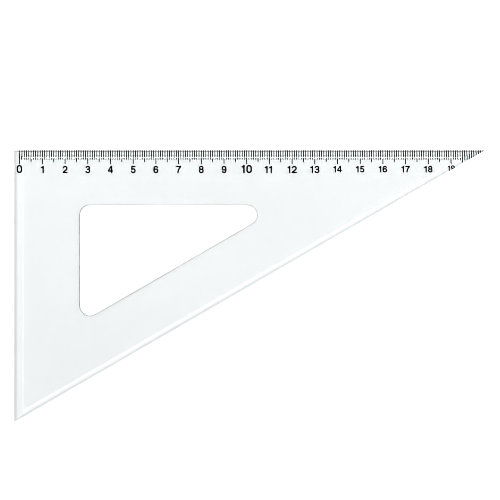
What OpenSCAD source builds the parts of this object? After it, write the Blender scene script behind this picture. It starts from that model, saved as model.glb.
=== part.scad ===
// Set square of clear moulded plastic, with a centimetre scale stamped in ink on its underside.
// It lies flat, with its underside at z = 0 and its right-angled corner at the origin.
// The scale edge runs along +X, the short edge along -Y, and +Z points at the reader.

/* [Plate] */
// Length of the edge that carries the scale
scale_edge = 207.5; // [180:0.5:250]
// Angle at the far end of the scale edge
tip_angle = 30; // [30, 45]
// Thickness of the plate
thickness = 2; // [1.6:0.1:3]
// Height of the upright edge that is left below each bevel
land = 1; // [0.6:0.1:1.4]

/* [Bevels] */
// Width of the bevel along the scale edge
scale_bevel = 2.4; // [2:0.1:6]
// Width of the bevel along the short edge
short_bevel = 4.2; // [2:0.1:6]
// Width of the bevel along the slanted edge
slant_bevel = 2.4; // [2:0.1:6]

/* [Window] */
// Distance of the window from the scale edge
window_from_scale = 24; // [18:0.1:26]
// Distance of the window from the short edge
window_from_short = 29.2; // [18:0.1:32]
// Distance of the window from the slanted edge
window_from_slant = 23.2; // [18:0.1:26]
// Radius of the window's corners
window_r = 4.5; // [2:0.5:5]

/* [Marks] */
// Distance of the zero mark from the short edge
zero_offset = 2.65; // [2:0.05:6]
// Length of a millimetre mark
millimetre_mark = 4; // [3:0.1:4.5]
// Length of a half-centimetre mark
half_mark = 5.1; // [4:0.1:5.5]
// Length of a centimetre mark
centimetre_mark = 6; // [4:0.1:6.2]
// Width of every mark
mark_w = 0.3; // [0.15:0.05:0.5]

/* [Numerals] */
// Height of a numeral
numeral_h = 3.1; // [2.5:0.1:3.5]
// Height of the larger numerals, 0 and 10
large_h = 3.5; // [2.5:0.1:3.6]
// Height of the smaller numerals, 14 and up, which stand nearer the slanted edge
small_h = 2.8; // [2:0.1:3.5]
// Height of the last numeral, which is smaller still to fit beside the slanted edge
last_h = 2.4; // [2:0.1:3.5]
// How much higher the last numeral is set, away from the slanted edge
last_lift = 0.4; // [0:0.1:0.6]
// Distance of the numerals' feet from the scale edge
numeral_foot = 9.95; // [9.9:0.05:12]
// Stroke of a numeral, as a share of its height
stroke = 0.155; // [0.1:0.005:0.16]

/* [Ink] */
// Depth of the stamped recesses in the underside
recess = 0.05; // [0.04:0.01:0.2]
// Thickness of the ink at the bottom of each recess
ink = 0.04; // [0.01:0.01:0.04]
// Bare strip left between the ink and the plate's edges
bare = 0.05; // [0.02:0.01:0.2]

/* [Hidden] */
// Length of the two other edges
short_edge = scale_edge * tan(tip_angle);
slant_edge = scale_edge / cos(tip_angle);
// How far a cutting shape runs past what it cuts
spare = 10;
// Corners of the triangle that lies at these distances inside the three edges, in the order
// right angle, far end of the short edge, far end of the scale edge
function inset(from_scale, from_short, from_slant) =
    let (rise = from_slant / cos(tip_angle))
    [
        [from_short, -from_scale],
        [from_short, rise - (scale_edge - from_short) * tan(tip_angle)],
        [scale_edge - (from_scale + rise) / tan(tip_angle), -from_scale]
    ];
// Outward directions of the short, slanted and scale edges, each of which starts at a corner above
outward = [[-1, 0], [sin(tip_angle), -cos(tip_angle)], [0, 1]];

// Marks stand a millimetre apart, from zero to the last one that meets the slanted edge
last_mark = floor(scale_edge - zero_offset - bare);
function mark_x(millimetres) = zero_offset + millimetres;
// The last numeral is the last whose top left corner is on the plate
last_numeral = floor((scale_edge - zero_offset - (numeral_foot - numeral_h) / tan(tip_angle)) / 10);
first_small = 14;

// Figures are drawn one unit high, so these are shares of a numeral's height
figure_w = 0.67;
one_w = 0.37;
figure_gap = 0.24;
function figure_width(digit) = digit == 1 ? one_w : figure_w;
// Straight steps of the wedge that cuts an arc out of a ring
arc_steps = 6;

$fn = 48;

// Shapes of the plate

module outline(edge = 0) {
    polygon(inset(edge, edge, edge));
}

// A triangle with round corners: a disc in each corner, joined by a six-sided middle
module window_outline() {
    centres = inset(
        window_from_scale + window_r, window_from_short + window_r, window_from_slant + window_r
    );
    polygon([
        for (i = [0 : 2])
            for (end = [i, (i + 1) % 3])
                centres[end] + window_r * outward[i]
    ]);
    for (centre = centres)
        translate(centre)
            circle(window_r);
}

// Everything above one sloping bevel, for an edge that runs along +X with the plate on its -Y side
module bevel_cut(width, length) {
    rotate([90, 0, 90])
        translate([0, 0, -spare])
            linear_extrude(length + 2 * spare)
                polygon([
                    [-width, thickness],
                    [0, land],
                    [spare, land],
                    [spare, thickness + spare],
                    [-width, thickness + spare]
                ]);
}

module blank() {
    difference() {
        linear_extrude(thickness)
            outline();
        bevel_cut(scale_bevel, scale_edge);
        translate([0, -short_edge])
            rotate(90)
                bevel_cut(short_bevel, short_edge);
        translate([scale_edge, 0])
            rotate(180 + tip_angle)
                bevel_cut(slant_bevel, slant_edge);
        translate([0, 0, -spare])
            linear_extrude(thickness + 2 * spare)
                window_outline();
    }
}

// Shapes of the figures, each one unit high and standing on y = 0 with its middle at x = 0

// A box whose shorter sides are half circles
module pill(width, height) {
    r = min(width, height) / 2;
    square([width > height ? width - 2 * r : width, width > height ? height : height - 2 * r], center = true);
    for (side = [-1, 1])
        translate(width > height ? [side * (width / 2 - r), 0] : [0, side * (height / 2 - r)])
            circle(r);
}

// A closed loop of one stroke's width, from one height to another
module bowl(width, low, high) {
    translate([0, (low + high) / 2])
        difference() {
            pill(width, high - low);
            pill(width - 2 * stroke, high - low - 2 * stroke);
        }
}

// A box between two corners
module block(low, high) {
    translate(low)
        square(high - low);
}

// Part of a ring of one stroke's width, between two angles
module ring_part(r, from, to) {
    reach = 2 * (r + stroke);
    intersection() {
        difference() {
            circle(r + stroke / 2);
            circle(r - stroke / 2);
        }
        polygon(concat([[0, 0]], [
            for (i = [0 : arc_steps])
                let (angle = from + (to - from) * i / arc_steps)
                reach * [cos(angle), sin(angle)]
        ]));
    }
}

module figure_0() {
    bowl(figure_w, 0, 1);
}

module figure_1() {
    polygon([
        [one_w / 2 - stroke, 0],
        [one_w / 2, 0],
        [one_w / 2, 1],
        [one_w / 2 - 0.12, 1],
        [-0.03, 0.87],
        [-one_w / 2, 0.82],
        [-one_w / 2, 0.7],
        [one_w / 2 - stroke, 0.7]
    ]);
}

module figure_2() {
    r = (figure_w - stroke) / 2;
    turn = -50;
    shoulder = [0, 1 - figure_w / 2];
    // The slanting stroke leaves the round top along its tangent and ends inside the foot
    leave = shoulder + r * [cos(turn), sin(turn)];
    slope = [sin(turn), -cos(turn)];
    arrive = leave + slope * ((stroke / 2 - leave.y) / slope.y);
    side = stroke / 2 * [slope.y, -slope.x];
    translate(shoulder)
        ring_part(r, turn, 180);
    polygon([leave + side, arrive + side, arrive - side, leave - side]);
    block([-figure_w / 2, 0], [figure_w / 2, stroke]);
}

module figure_3() {
    difference() {
        eight_loops();
        block([-1, 0.27], [-0.1, 0.745]);
    }
}

module figure_4() {
    stem = 0.08;
    bar = 0.21;
    difference() {
        polygon([
            [stem, 0],
            [stem + stroke, 0],
            [stem + stroke, bar],
            [figure_w / 2, bar],
            [figure_w / 2, bar + stroke],
            [stem + stroke, bar + stroke],
            [stem + stroke, 1],
            [0.05, 1],
            [-0.35, bar + stroke],
            [-0.35, bar],
            [stem, bar]
        ]);
        polygon([[stem, bar + stroke], [stem, 0.78], [-0.19, bar + stroke]]);
    }
}

module figure_5() {
    block([-0.24, 1 - stroke], [0.3, 1]);
    polygon([[-0.24, 1], [-0.29, 0.47], [-0.12, 0.47], [-0.08, 1]]);
    difference() {
        bowl(figure_w, 0, 0.66);
        block([-1, 0.27], [-0.13, 1]);
    }
}

module figure_6() {
    bowl(figure_w, 0, 0.64);
    difference() {
        bowl(figure_w, 0, 1);
        block([-1, -1], [1, 0.32]);
        block([stroke - figure_w / 2, 0], [1, 0.74]);
    }
}

module figure_7() {
    bend = 1.134;
    block([-figure_w / 2, 1 - stroke], [figure_w / 2, 1]);
    intersection() {
        translate([bend, 0])
            ring_part(bend + 0.09, 130, 180);
        block([-1, 0], [figure_w / 2, 1 - stroke / 2]);
    }
}

module figure_8() {
    eight_loops();
}

module figure_9() {
    translate([0, 1])
        rotate(180)
            figure_6();
}

// The upper loop is a little smaller, and the two share their middle stroke
module eight_loops() {
    waist = 0.605;
    bowl(figure_w, 0, waist);
    bowl(0.93 * figure_w, waist - stroke, 1);
}

module figure(digit) {
    if (digit == 0) figure_0();
    if (digit == 1) figure_1();
    if (digit == 2) figure_2();
    if (digit == 3) figure_3();
    if (digit == 4) figure_4();
    if (digit == 5) figure_5();
    if (digit == 6) figure_6();
    if (digit == 7) figure_7();
    if (digit == 8) figure_8();
    if (digit == 9) figure_9();
}

// Flat shapes of the ink, in their places

module marks_outline(millimetres, length) {
    intersection() {
        for (millimetre = millimetres)
            translate([mark_x(millimetre) - mark_w / 2, -length])
                square([mark_w, length]);
        outline(bare);
    }
}

// A number of two figures is centred under its mark as if its last figure had the full width
module number(n) {
    tens = floor(n / 10);
    units = n % 10;
    tens_w = figure_width(tens);
    start = -(tens_w + figure_gap + figure_w) / 2;
    if (tens > 0) {
        translate([start + tens_w / 2, 0])
            figure(tens);
        translate([start + tens_w + figure_gap + figure_width(units) / 2, 0])
            figure(units);
    } else {
        figure(n);
    }
}

function numeral_height(n) =
    n == last_numeral ? last_h :
    n >= first_small ? small_h :
    n == 0 || n == 10 ? large_h :
    numeral_h;

// Numbers stand on one line, but the smaller ones hang level with the tops of the others, and the
// last is set higher still if there is room below its mark
module numeral_outline(n) {
    height = numeral_height(n);
    level = min(numeral_foot, numeral_foot - numeral_h + height);
    room = max(0, level - height - centimetre_mark - 2 * bare);
    foot = level - (n == last_numeral ? min(last_lift, room) : 0);
    intersection() {
        translate([mark_x(10 * n), -foot])
            scale(height)
                number(n);
        outline(bare);
    }
}

// Ink lies on the roof of its recess, so it never reaches below the underside
module in_recess() {
    translate([0, 0, recess - ink])
        linear_extrude(ink)
            children();
}

fine_marks = [for (i = [0 : last_mark]) if (i % 5 != 0) i];
half_marks = [for (i = [5 : 10 : last_mark]) i];
whole_marks = [for (i = [0 : 10 : last_mark]) i];

// The sub-parts

module plate() {
    color([0.92, 0.96, 0.96, 0.6])
        difference() {
            blank();
            translate([0, 0, -spare])
                linear_extrude(spare + recess) {
                    marks_outline(fine_marks, millimetre_mark);
                    marks_outline(half_marks, half_mark);
                    marks_outline(whole_marks, centimetre_mark);
                    for (n = [0 : last_numeral])
                        numeral_outline(n);
                }
        }
}

module millimetre_marks() {
    color([0.03, 0.03, 0.03])
        in_recess()
            marks_outline(fine_marks, millimetre_mark);
}

module half_centimetre_marks() {
    color([0.03, 0.03, 0.03])
        in_recess()
            marks_outline(half_marks, half_mark);
}

module centimetre_marks() {
    color([0.03, 0.03, 0.03])
        in_recess()
            marks_outline(whole_marks, centimetre_mark);
}

module numeral(n) {
    color([0.03, 0.03, 0.03])
        in_recess()
            numeral_outline(n);
}

plate();
millimetre_marks();
half_centimetre_marks();
centimetre_marks();
for (n = [0 : last_numeral])
    numeral(n);
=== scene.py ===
from math import atan2, cos, pi, radians, sin, sqrt, tan

import bpy
from mathutils import Matrix, Vector
from mathutils.geometry import delaunay_2d_cdt


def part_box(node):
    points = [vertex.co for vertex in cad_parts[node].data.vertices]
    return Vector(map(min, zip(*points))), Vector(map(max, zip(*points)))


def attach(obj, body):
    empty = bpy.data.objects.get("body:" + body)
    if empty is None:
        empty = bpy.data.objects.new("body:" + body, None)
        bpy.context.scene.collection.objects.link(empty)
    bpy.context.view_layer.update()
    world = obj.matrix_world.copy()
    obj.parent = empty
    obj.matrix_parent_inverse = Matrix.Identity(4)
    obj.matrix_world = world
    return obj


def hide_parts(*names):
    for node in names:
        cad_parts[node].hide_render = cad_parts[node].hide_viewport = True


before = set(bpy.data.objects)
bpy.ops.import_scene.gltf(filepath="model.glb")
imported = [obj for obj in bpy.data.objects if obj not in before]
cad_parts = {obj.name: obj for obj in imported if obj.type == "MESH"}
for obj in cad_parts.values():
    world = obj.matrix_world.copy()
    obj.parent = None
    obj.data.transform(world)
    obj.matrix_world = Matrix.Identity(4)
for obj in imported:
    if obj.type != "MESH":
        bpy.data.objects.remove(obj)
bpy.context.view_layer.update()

MM = 0.001

# ---------------------------------------------------------------- the plate's sizes, in metres

# Wherever three values stand in a row, they belong to the short, slanted and scale edges

PLATE_LOW, PLATE_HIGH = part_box("plate")
SCALE_EDGE = PLATE_HIGH.x - PLATE_LOW.x
SHORT_EDGE = PLATE_HIGH.y - PLATE_LOW.y
THICKNESS = PLATE_HIGH.z - PLATE_LOW.z
TIP = atan2(SHORT_EDGE, SCALE_EDGE)
# Outward directions of the edges
OUTWARD = ((-1.0, 0.0), (sin(TIP), -cos(TIP)), (0.0, 1.0))

# Height of the upright edge below the bevels, and the bevels' widths
LAND = 1.0 * MM
BEVELS = (4.2 * MM, 2.4 * MM, 2.4 * MM)
# The window's distances from the edges, and the radius of its corners
WINDOW_FROM = (29.2 * MM, 23.2 * MM, 24.0 * MM)
WINDOW_R = 4.5 * MM

# Radii that a moulding has where the CAD's edges are sharp: under the plate, below each bevel and on
# the crest above it, and at the window's lower and upper edge
UNDER_R = 0.08 * MM
LAND_R = 0.12 * MM
CRESTS = (2.8 * MM, 2.0 * MM, 8.5 * MM)
WINDOW_UNDER_R = 0.10 * MM
WINDOW_TOPS = (0.27 * MM, 0.30 * MM, 0.11 * MM)

# Steps in each rounded edge, and round each corner of the window
ARC_STEPS = 6
CORNER_STEPS = 24
# Heights and corners of a flat face that are closer than this are one
SAME_HEIGHT = 1e-7
SAME_CORNER = 1e-9
# Points are one if they agree when measured in this many parts of a metre
PARTS_PER_METRE = 1e8


# ---------------------------------------------------------------- the plate's shape

def corners(insets):
    """Corners of the triangle that lies at these distances inside the three edges, in the order right
    angle, far end of the short edge, far end of the scale edge."""
    short, slant, scale = insets
    rise = slant / cos(TIP)
    return (
        (short, -scale),
        (short, rise - (SCALE_EDGE - short) * tan(TIP)),
        (SCALE_EDGE - (scale + rise) / tan(TIP), -scale),
    )


def rounded(turn):
    """For a point this far round an edge of radius 1, from 0 at the wall to 1 at the face: how far it is
    set back from the wall, and how steeply its normal rises, in radians."""
    side = sqrt(max(0.0, 1 - turn * turn))
    return 1 - side, atan2(turn, side)


def bevel_lean(width):
    return atan2(THICKNESS - LAND, width)


def land_arc(lean):
    """The heights where the rounded edge below a bevel starts and ends."""
    back = LAND_R * tan((pi / 2 - lean) / 2)
    return LAND - back, LAND + back * sin(lean)


def bevel_profile(width, crest_r, z):
    """How far inside an edge the surface is at height z, and how steeply its normal rises there."""
    lean = bevel_lean(width)
    arc_low, arc_high = land_arc(lean)
    if z < UNDER_R:
        share, rise = rounded((UNDER_R - z) / UNDER_R)
        return UNDER_R * share, -rise
    if z <= arc_low:
        return 0.0, 0.0
    if z < arc_high:
        share, rise = rounded((z - arc_low) / LAND_R)
        return LAND_R * share, rise
    if z <= THICKNESS - crest_r * (1 - cos(lean)):
        return (z - LAND) / tan(lean), pi / 2 - lean
    share, rise = rounded(1 - min(1.0, (THICKNESS - z) / crest_r))
    return width + crest_r * tan(lean / 2) - crest_r * (1 - share), rise


def bevel_levels():
    """Heights of the rings of points that follow every bevel's profile."""
    levels = [UNDER_R * (1 - cos(pi / 2 * i / ARC_STEPS)) for i in range(ARC_STEPS + 1)]
    levels += [LAND + LAND_R * (i / ARC_STEPS - 1) for i in range(2 * ARC_STEPS + 1)]
    for width, crest_r in zip(BEVELS, CRESTS):
        lean = bevel_lean(width)
        levels += land_arc(lean)
        levels += [THICKNESS - crest_r * (1 - cos(lean * i / ARC_STEPS)) for i in range(ARC_STEPS + 1)]
    kept = []
    for z in sorted(levels):
        if not kept or z - kept[-1] > SAME_HEIGHT:
            kept.append(z)
    kept[-1] = THICKNESS
    return kept


def window_profile(z, top_r):
    """How far the window's wall is set back at height z, and how steeply its normal rises there."""
    if z < WINDOW_UNDER_R:
        share, rise = rounded(1 - z / WINDOW_UNDER_R)
        return WINDOW_UNDER_R * share, -rise
    if z > THICKNESS - top_r:
        share, rise = rounded(1 - (THICKNESS - z) / top_r)
        return top_r * share, rise
    return 0.0, 0.0


def window_levels():
    """Heights of the rings of points that follow the profile of the window's wall."""
    quarter = [1 - cos(pi / 2 * i / ARC_STEPS) for i in range(ARC_STEPS + 1)]
    low = [WINDOW_UNDER_R * q for q in quarter]
    high = [THICKNESS - max(WINDOW_TOPS) * q for q in reversed(quarter)]
    return low + high


def window_ring(z):
    """The window's outline at height z as (x, y, outward x, outward y, rise of the normal)."""
    centres = corners([distance + WINDOW_R for distance in WINDOW_FROM])
    ring = []
    for i, centre in enumerate(centres):
        # Round corner i joins the side before it to side i
        start = atan2(OUTWARD[i - 1][1], OUTWARD[i - 1][0])
        end = atan2(OUTWARD[i][1], OUTWARD[i][0])
        while end < start:
            end += 2 * pi
        for step in range(CORNER_STEPS + 1):
            share = step / CORNER_STEPS
            angle = start + (end - start) * share
            dx, dy = cos(angle), sin(angle)
            top_r = WINDOW_TOPS[i - 1] * (1 - share) + WINDOW_TOPS[i] * share
            set_back, rise = window_profile(z, top_r)
            r = WINDOW_R + set_back
            ring.append((centre[0] + r * dx, centre[1] + r * dy, dx, dy, rise))
    return ring


class Builder:
    """Collects faces with a normal for each of their corners."""

    def __init__(self):
        self.points, self.index, self.faces, self.normals = [], {}, [], []

    def point(self, place):
        key = tuple(round(value * PARTS_PER_METRE) for value in place)
        if key not in self.index:
            self.index[key] = len(self.points)
            self.points.append(place)
        return self.index[key]

    def face(self, places, normals):
        """Adds a face, without corners that fall together, if three or more are left."""
        ids = [self.point(place) for place in places]
        kept = [k for k in range(len(ids)) if ids[k] != ids[k - 1]]
        if len({ids[k] for k in kept}) < 3:
            return
        self.faces.append([ids[k] for k in kept])
        self.normals += [tuple(Vector(normals[k]).normalized()) for k in kept]

    def make(self, name):
        mesh = bpy.data.meshes.new(name)
        mesh.from_pydata(self.points, [], self.faces)
        mesh.polygons.foreach_set("use_smooth", [True] * len(mesh.polygons))
        mesh.normals_split_custom_set(self.normals)
        mesh.update()
        obj = bpy.data.objects.new(name, mesh)
        bpy.context.scene.collection.objects.link(obj)
        return obj


def outer_rings():
    """The plate's outline at each level, as a height, three corners and three rises of the normal."""
    rings = []
    for z in bevel_levels():
        profile = [bevel_profile(width, crest_r, z) for width, crest_r in zip(BEVELS, CRESTS)]
        rings.append((z, corners([back for back, _ in profile]), [rise for _, rise in profile]))
    return rings


def add_outer_sides(build, rings):
    """The upright edges, bevels and crests."""
    for (z0, ring0, rise0), (z1, ring1, rise1) in zip(rings, rings[1:]):
        for i, (dx, dy) in enumerate(OUTWARD):
            j = (i + 1) % len(OUTWARD)
            places = [(*ring0[i], z0), (*ring0[j], z0), (*ring1[j], z1), (*ring1[i], z1)]
            low = (dx * cos(rise0[i]), dy * cos(rise0[i]), sin(rise0[i]))
            high = (dx * cos(rise1[i]), dy * cos(rise1[i]), sin(rise1[i]))
            build.face(places, [low, low, high, high])


def add_window_wall(build, walls):
    for (z0, ring0), (z1, ring1) in zip(walls, walls[1:]):
        for k in range(len(ring0)):
            m = (k + 1) % len(ring0)
            places, normals = [], []
            for point, z in ((ring0[m], z0), (ring0[k], z0), (ring1[k], z1), (ring1[m], z1)):
                x, y, dx, dy, rise = point
                places.append((x, y, z))
                normals.append((-dx * cos(rise), -dy * cos(rise), sin(rise)))
            build.face(places, normals)


def inside(p, ring):
    """True if a point lies inside a convex ring that runs anticlockwise."""
    for i in range(len(ring)):
        a, b = Vector(ring[i - 1]), Vector(ring[i])
        if (b - a).cross(p - a) < 0:
            return False
    return True


def loop_edges(first, count):
    return [(first + k, first + (k + 1) % count) for k in range(count)]


def add_flat_face(build, z, outer, hole, up):
    """The level face at height z between the plate's outline and the window's."""
    edges = loop_edges(0, len(outer)) + loop_edges(len(outer), len(hole))
    flat = [Vector(point) for point in (*outer, *hole)]
    found, _, triangles, *_ = delaunay_2d_cdt(flat, edges, [], 0, SAME_CORNER)
    normal = (0.0, 0.0, 1.0 if up else -1.0)
    for triangle in triangles:
        a, b, c = (found[k] for k in triangle)
        middle = (a + b + c) / 3
        if inside(middle, hole) or not inside(middle, outer):
            continue
        anticlockwise = (b - a).cross(c - a) > 0
        order = (a, b, c) if anticlockwise == up else (a, c, b)
        build.face([(p.x, p.y, z) for p in order], [normal] * 3)


def plate_mesh(name):
    build = Builder()
    rings = outer_rings()
    walls = [(z, window_ring(z)) for z in window_levels()]
    add_outer_sides(build, rings)
    add_window_wall(build, walls)
    for end, up in ((0, False), (-1, True)):
        hole = [point[:2] for point in walls[end][1]]
        add_flat_face(build, rings[end][0], rings[end][1], hole, up)
    return build.make(name)


# ---------------------------------------------------------------- node helpers

def rgb(red, green, blue):
    return red, green, blue, 1.0


def grey(value):
    return rgb(value, value, value)


class Tree:
    """A material's nodes, added one call at a time. Noise scales are in features per metre."""

    def __init__(self, name):
        self.material = bpy.data.materials.new(name)
        self.material.use_nodes = True
        self.tree = self.material.node_tree
        self.tree.nodes.clear()
        self.coords = self.add("ShaderNodeTexCoord").outputs["Object"]

    def add(self, kind, values=None, **settings):
        node = self.tree.nodes.new(kind)
        for key, value in settings.items():
            setattr(node, key, value)
        for key, value in (values or {}).items():
            self.put(node.inputs[key], value)
        return node

    def put(self, socket, value):
        if isinstance(value, bpy.types.NodeSocket):
            self.tree.links.new(value, socket)
        else:
            socket.default_value = value

    def split(self, vector):
        return self.add("ShaderNodeSeparateXYZ", {0: vector}).outputs

    def placed(self, turn=0.0, stretch=(1.0, 1.0, 1.0), shift=(0.0, 0.0, 0.0)):
        """The object's coordinates, turned about the vertical in degrees, stretched and shifted."""
        return self.add("ShaderNodeMapping", {
            "Vector": self.coords,
            "Rotation": (0.0, 0.0, radians(turn)),
            "Scale": stretch,
            "Location": shift,
        }).outputs[0]

    def noise(self, vector, scale, detail=2.0, roughness=0.5, distortion=0.0):
        return self.add("ShaderNodeTexNoise", {
            "Vector": vector,
            "Scale": scale,
            "Detail": detail,
            "Roughness": roughness,
            "Distortion": distortion,
        }).outputs["Fac"]

    def ramp(self, value, low, high, to_low=0.0, to_high=1.0):
        """A smooth step from to_low, where the value is low, to to_high, where it is high."""
        return self.add("ShaderNodeMapRange", {
            "Value": value,
            "From Min": low,
            "From Max": high,
            "To Min": to_low,
            "To Max": to_high,
        }, interpolation_type="SMOOTHSTEP").outputs[0]

    def fall(self, value, low, high):
        """A smooth step from 1, where the value is low, down to 0."""
        return self.ramp(value, low, high, 1.0, 0.0)

    def maths(self, operation, *values):
        node = self.add("ShaderNodeMath", operation=operation)
        for socket, value in zip(node.inputs, values):
            self.put(socket, value)
        return node.outputs[0]

    def times(self, a, b):
        return self.maths("MULTIPLY", a, b)

    def largest(self, first, *others):
        for other in others:
            first = self.maths("MAXIMUM", first, other)
        return first

    def blend(self, factor, a, b):
        """From colour a to colour b."""
        node = self.add("ShaderNodeMix", data_type="RGBA")
        self.put(node.inputs[0], factor)
        self.put(node.inputs[6], a)
        self.put(node.inputs[7], b)
        return node.outputs[2]

    def mix(self, factor, a, b):
        """From shader a to shader b."""
        return self.add("ShaderNodeMixShader", {0: factor, 1: a, 2: b}).outputs[0]

    def bump(self, height, distance, normal=None):
        values = {"Height": height, "Strength": 1.0, "Distance": distance}
        if normal is not None:
            values["Normal"] = normal
        return self.add("ShaderNodeBump", values).outputs[0]

    def finish(self, shader):
        out = self.add("ShaderNodeOutputMaterial")
        self.tree.links.new(shader, out.inputs["Surface"])
        return self.material


# ---------------------------------------------------------------- clear plastic

TINT_DEEP = rgb(0.960, 0.975, 0.974)
TINT_PALE = rgb(0.972, 0.987, 0.990)
# Painted shade where the bevels thin out towards the edge
THIN_BEVEL_SHADE = rgb(0.78, 0.792, 0.81)
# Painted shade, darker still, along the scale edge
SCALE_EDGE_SHADE = rgb(0.56, 0.56, 0.57)
# Painted shade on the window's broken upper edge
BROKEN_EDGE_SHADE = grey(0.16)
FROST_DEEP = rgb(0.52, 0.58, 0.585)
FROST_PALE = rgb(0.62, 0.68, 0.685)
FROST_GLOW = rgb(0.56, 0.63, 0.635)

# How level a face is, from 0 to 1, where walls end, where bevels start, and where broken edges end
WALL_BAND = (0.15, 0.55)
BEVEL_BAND = (0.4, 0.6)
BROKEN_BAND = (0.86, 0.91)

# Each bevel's painted shade is darkest at the first of these heights, and clear again at the second
NOSE_DARKEST = LAND + 0.20 * MM
NOSE_END = LAND + 0.50 * MM
# Painted shade lies full up to the first distance from the scale edge, and fades out by the second
SCALE_SHADE_FULL = 0.6 * MM
SCALE_SHADE_END = 1.0 * MM
# The broken edge's painted shade is full down to the first depth below the top, and ends at the second
BROKEN_FULL = 0.3 * MM
BROKEN_END = 0.6 * MM

# Roughness of the polished faces, and what smudges, milling and scratches add to it
POLISHED = 0.004
SMUDGED = 0.012
MILLED = 0.12
SCRATCHED = 0.05
PLASTIC_IOR = 1.49

WAVE_DEPTH = 0.02 * MM
SCRATCH_DEPTH = 0.0012 * MM
# A scratch is this many times longer than the scratches' spacing
SCRATCH_LENGTH = 14

# How much of the milled faces' light is scattered, and how much lamplight they keep from passing
FROSTED = 0.55
WALL_LOSS = 0.15
# Lamplight that a face keeps when it is square to the light, and the most that slanting adds
SQUARE_LOSS = 0.01
SLANT_LOSS = 0.5
# After this many turns inside the plate, light counts as caught in it
TRAPPED_AFTER = 4.5


def hairlines(t, turn, spacing, thinness, shift):
    """Fine straight scratches that run one way and fade in and out along their length."""
    across = t.placed(turn, (1.0 / SCRATCH_LENGTH, 1.0, 1.0), shift)
    lines = t.noise(across, 1.0 / spacing, detail=1.0)
    line = t.fall(t.maths("ABSOLUTE", t.maths("SUBTRACT", lines, 0.5)), 0.0, thinness)
    patches = t.noise(t.placed(turn, shift=shift), 45.0, detail=1.0)
    return t.times(line, t.ramp(patches, 0.55, 0.68))


def scratches_of_use(t):
    """Handling leaves hairline scratches at a few angles."""
    return t.largest(
        hairlines(t, 12.0, 1.1 * MM, 0.012, (0.0, 0.0, 0.0)),
        hairlines(t, -31.0, 1.4 * MM, 0.010, (0.3, 0.1, 0.0)),
        hairlines(t, 74.0, 1.8 * MM, 0.010, (0.1, 0.7, 0.0)),
    )


def tint_and_painted_shade(t, level):
    """The colour that light takes on at the surface, with painted shade where the bevels thin out, along
    the scale edge and on the window's broken upper edge.
    """
    place = t.split(t.coords)
    height = place["Z"]
    # The plastic's cool tint is a little uneven from end to end
    clouds = t.noise(t.placed(-20.0, (1.0, 1.5, 1.0)), 11.0, distortion=0.4)
    tint = t.blend(t.ramp(clouds, 0.3, 0.7), TINT_DEEP, TINT_PALE)
    # Painted shade where the bevels thin out towards the edge
    thin_bevel_shade = t.times(t.ramp(height, LAND, NOSE_DARKEST), t.ramp(level, *BEVEL_BAND))
    thin_bevel_shade = t.times(t.fall(height, NOSE_DARKEST, NOSE_END), thin_bevel_shade)
    tint = t.blend(thin_bevel_shade, tint, THIN_BEVEL_SHADE)
    # Painted shade, darker still, along the thin bevel of the scale edge
    scale_edge_shade = t.times(thin_bevel_shade, t.ramp(place["Y"], -SCALE_SHADE_END, -SCALE_SHADE_FULL))
    tint = t.blend(scale_edge_shade, tint, SCALE_EDGE_SHADE)
    # The window's upper edge is broken, and painted shade darkens it for the light it turns away
    near_top = t.ramp(height, THICKNESS - BROKEN_END, THICKNESS - BROKEN_FULL)
    return t.blend(t.times(t.fall(level, *BROKEN_BAND), near_top), tint, BROKEN_EDGE_SHADE)


def polished_glass(t, level, wall):
    """The polished surface, with its scratches, smudges, specks and faint waviness."""
    scratches = scratches_of_use(t)
    smears = t.placed(20.0, (1.0, 1.6, 1.0))
    smudges = t.ramp(t.noise(smears, 38.0, detail=4.0, roughness=0.6, distortion=0.6), 0.5, 0.72)
    specks = t.ramp(t.noise(t.placed(), 2600.0, detail=0.0), 0.80, 0.86)
    roughness = t.maths("ADD", POLISHED, t.times(smudges, SMUDGED))
    roughness = t.maths("ADD", roughness, t.times(wall, MILLED))
    roughness = t.maths("ADD", roughness, t.times(t.largest(scratches, specks), SCRATCHED))
    waves = t.noise(t.placed(30.0, (1.0, 1.7, 1.0)), 55.0)
    normal = t.bump(waves, WAVE_DEPTH)
    normal = t.bump(t.maths("SUBTRACT", 1.0, scratches), SCRATCH_DEPTH, normal)
    return t.add("ShaderNodeBsdfPrincipled", {
        "Base Color": tint_and_painted_shade(t, level),
        "Roughness": roughness,
        "IOR": PLASTIC_IOR,
        "Transmission Weight": 1.0,
        "Normal": normal,
    }).outputs[0]


def milled_frost(t):
    """Pale scattered light, as milled faces show of the light that runs along inside the plate."""
    milling = t.noise(t.placed(stretch=(1.0, 1.0, 12.0)), 900.0)
    scatter = t.add("ShaderNodeBsdfDiffuse", {
        "Color": t.blend(milling, FROST_DEEP, FROST_PALE),
        "Roughness": 0.5,
    })
    glow = t.add("ShaderNodeBsdfTranslucent", {"Color": FROST_GLOW})
    return t.mix(0.5, scatter.outputs[0], glow.outputs[0])


def lamplight_passed(t, wall):
    """Lamps reach the table and the ink through the plastic, less what each face turns away."""
    facing = t.add("ShaderNodeLayerWeight", {"Blend": 0.5}).outputs["Facing"]
    loss = t.maths("MULTIPLY_ADD", t.maths("POWER", facing, 3.0), SLANT_LOSS, SQUARE_LOSS)
    loss = t.largest(loss, t.times(wall, WALL_LOSS))
    return t.add("ShaderNodeBsdfTransparent", {
        "Color": t.blend(loss, grey(1.0), grey(0.0)),
    }).outputs[0]


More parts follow.
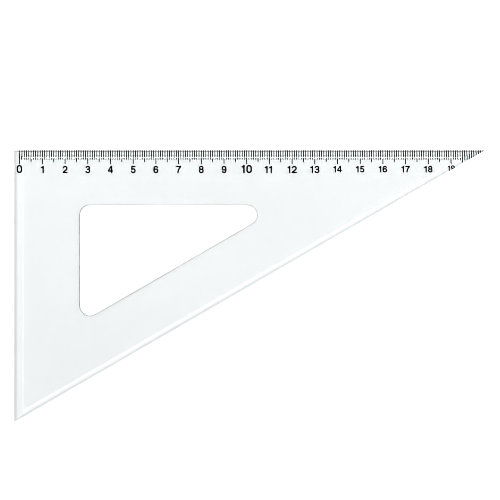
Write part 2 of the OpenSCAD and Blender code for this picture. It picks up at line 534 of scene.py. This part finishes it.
def clear_plastic():
    """Polished glass, with frost on its milled faces, that lets lamplight through."""
    t = Tree("clear_plastic")
    normal = t.add("ShaderNodeNewGeometry").outputs["Normal"]
    # 0 on an upright face and 1 on a level one
    level = t.maths("ABSOLUTE", t.split(normal)["Z"])
    wall = t.fall(level, *WALL_BAND)
    path = t.add("ShaderNodeLightPath").outputs
    # Light that can't get out of the plate ends on the frost too
    trapped = t.maths("GREATER_THAN", path["Ray Depth"], TRAPPED_AFTER)
    frosted = t.largest(trapped, t.times(wall, FROSTED))
    body = t.mix(frosted, polished_glass(t, level, wall), milled_frost(t))
    lamplight = t.largest(path["Is Shadow Ray"], path["Is Diffuse Ray"])
    return t.finish(t.mix(lamplight, body, lamplight_passed(t, wall)))


# ---------------------------------------------------------------- ink and table

def black_ink():
    """Stamped ink is a little mottled, and glossier where it lies thicker."""
    t = Tree("black_ink")
    mottle = t.noise(t.placed(), 2200.0, detail=3.0, roughness=0.6)
    grain = t.noise(t.placed(), 9000.0)
    black, worn = rgb(0.0035, 0.0035, 0.004), rgb(0.009, 0.009, 0.010)
    return t.finish(t.add("ShaderNodeBsdfPrincipled", {
        "Base Color": t.blend(t.ramp(mottle, 0.35, 0.7), black, worn),
        "Roughness": t.ramp(mottle, 0.3, 0.7, to_low=0.38, to_high=0.62),
        "Specular IOR Level": 0.03,
        "Normal": t.bump(grain, 0.002 * MM),
    }).outputs[0])


def white_table():
    t = Tree("white_table")
    grain = t.noise(t.placed(), 700.0, detail=3.0)
    return t.finish(t.add("ShaderNodeBsdfPrincipled", {
        "Base Color": t.blend(grain, grey(0.80), grey(0.82)),
        "Roughness": 0.85,
        "Specular IOR Level": 0.2,
        "Normal": t.bump(grain, 0.01 * MM),
    }).outputs[0])


# ---------------------------------------------------------------- the object

plastic = clear_plastic()
ink = black_ink()

plate = plate_mesh("plate_moulding")
plate.data.materials.append(plastic)
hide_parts("plate")
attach(plate, "root")

for name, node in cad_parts.items():
    if name != "plate":
        node.data.materials.clear()
        node.data.materials.append(ink)

# ---------------------------------------------------------------- table, light and camera

TABLE_SIZE = 6.0
# The table lies a hair below the plate, so that their faces don't meet
TABLE_GAP = 0.05 * MM
# The photographed view is centred here, straight down
VIEW_CENTRE = Vector((104.1 * MM, -43.87 * MM, 0.0))
VIEW_WIDTH = 220.4 * MM
CAMERA_HEIGHT = 0.9
SENSOR = 36.0


def add_table():
    half = TABLE_SIZE / 2
    square = [(x * half, y * half, -TABLE_GAP) for x, y in ((-1, -1), (1, -1), (1, 1), (-1, 1))]
    mesh = bpy.data.meshes.new("table")
    mesh.from_pydata(square, [], [(0, 1, 2, 3)])
    mesh.materials.append(white_table())
    table = bpy.data.objects.new("table", mesh)
    bpy.context.scene.collection.objects.link(table)


def add_camera():
    data = bpy.data.cameras.new("camera")
    data.sensor_width = SENSOR
    data.lens = SENSOR * CAMERA_HEIGHT / VIEW_WIDTH
    camera = bpy.data.objects.new("camera", data)
    camera.location = VIEW_CENTRE + Vector((0.0, 0.0, CAMERA_HEIGHT))
    bpy.context.scene.collection.objects.link(camera)
    bpy.context.scene.camera = camera


def softbox(name, azimuth, lean, distance, width, depth, strength, mirrored=True):
    """A soft panel that faces the middle of the view, leaning that many degrees away from straight
    above. One that isn't mirrored lights matt surfaces only, so that it never washes out the scale."""
    data = bpy.data.lights.new(name, "AREA")
    data.shape = "RECTANGLE"
    data.size, data.size_y = width, depth
    data.energy = strength * width * depth * pi
    light = bpy.data.objects.new(name, data)
    turn, tilt = radians(azimuth), radians(lean)
    towards = Vector((sin(tilt) * cos(turn), sin(tilt) * sin(turn), cos(tilt)))
    along = Vector((-sin(turn), cos(turn), 0.0))
    facing = Matrix((along, towards.cross(along), towards)).transposed()
    light.location = VIEW_CENTRE + towards * distance
    light.rotation_mode = "QUATERNION"
    light.rotation_quaternion = facing.to_quaternion()
    light.visible_glossy = light.visible_transmission = mirrored
    bpy.context.scene.collection.objects.link(light)


FILL = {"distance": 1.8, "width": 1.2, "depth": 1.2, "strength": 3.3, "mirrored": False}
# How bright the ring is that makes the crests of the bevels shine
RING = 3.5
# The sky's brightness by height, from 0 at the horizon to 1 straight above
SKY = (
    (0.0, 0.90),
    (0.12, 0.90),
    (0.24, 0.50),
    (0.50, 0.50),
    (0.62, 0.80),
    (0.74, 0.30),
    (0.915, 0.28),
    (0.935, RING),
    (0.975, RING),
    (0.985, 0.02),
)


def add_sky():
    """A tent that is pale at the horizon and half way up, with a bright ring near its top. It is dark
    straight above, where the camera looks in."""
    world = bpy.data.worlds.new("studio")
    bpy.context.scene.world = world
    world.use_nodes = True
    nodes, links = world.node_tree.nodes, world.node_tree.links
    split = nodes.new("ShaderNodeSeparateXYZ")
    links.new(nodes.new("ShaderNodeTexCoord").outputs["Generated"], split.inputs[0])
    tent = nodes.new("ShaderNodeValToRGB")
    tent.color_ramp.interpolation = "EASE"
    while len(tent.color_ramp.elements) < len(SKY):
        tent.color_ramp.elements.new(0.5)
    for element, (height, brightness) in zip(tent.color_ramp.elements, SKY):
        element.position = height
        element.color = grey(brightness)
    links.new(split.outputs["Z"], tent.inputs[0])
    links.new(tent.outputs[0], nodes["Background"].inputs["Color"])


add_table()
add_camera()
softbox("key_behind", 90.0, 14.5, distance=1.6, width=0.64, depth=0.18, strength=12.0)
softbox("fill_left", 135.0, 55.0, **FILL)
softbox("fill_right", 20.0, 50.0, **FILL)
add_sky()

# A steep tone curve on a white ground, as product pictures have
bpy.context.scene.view_settings.view_transform = "Standard"
bpy.context.scene.view_settings.look = "None"
bpy.context.scene.view_settings.gamma = 0.5
# Narrower than Blender's own filter, so that the fine marks of the scale stay crisp
bpy.context.scene.cycles.filter_width = 0.9
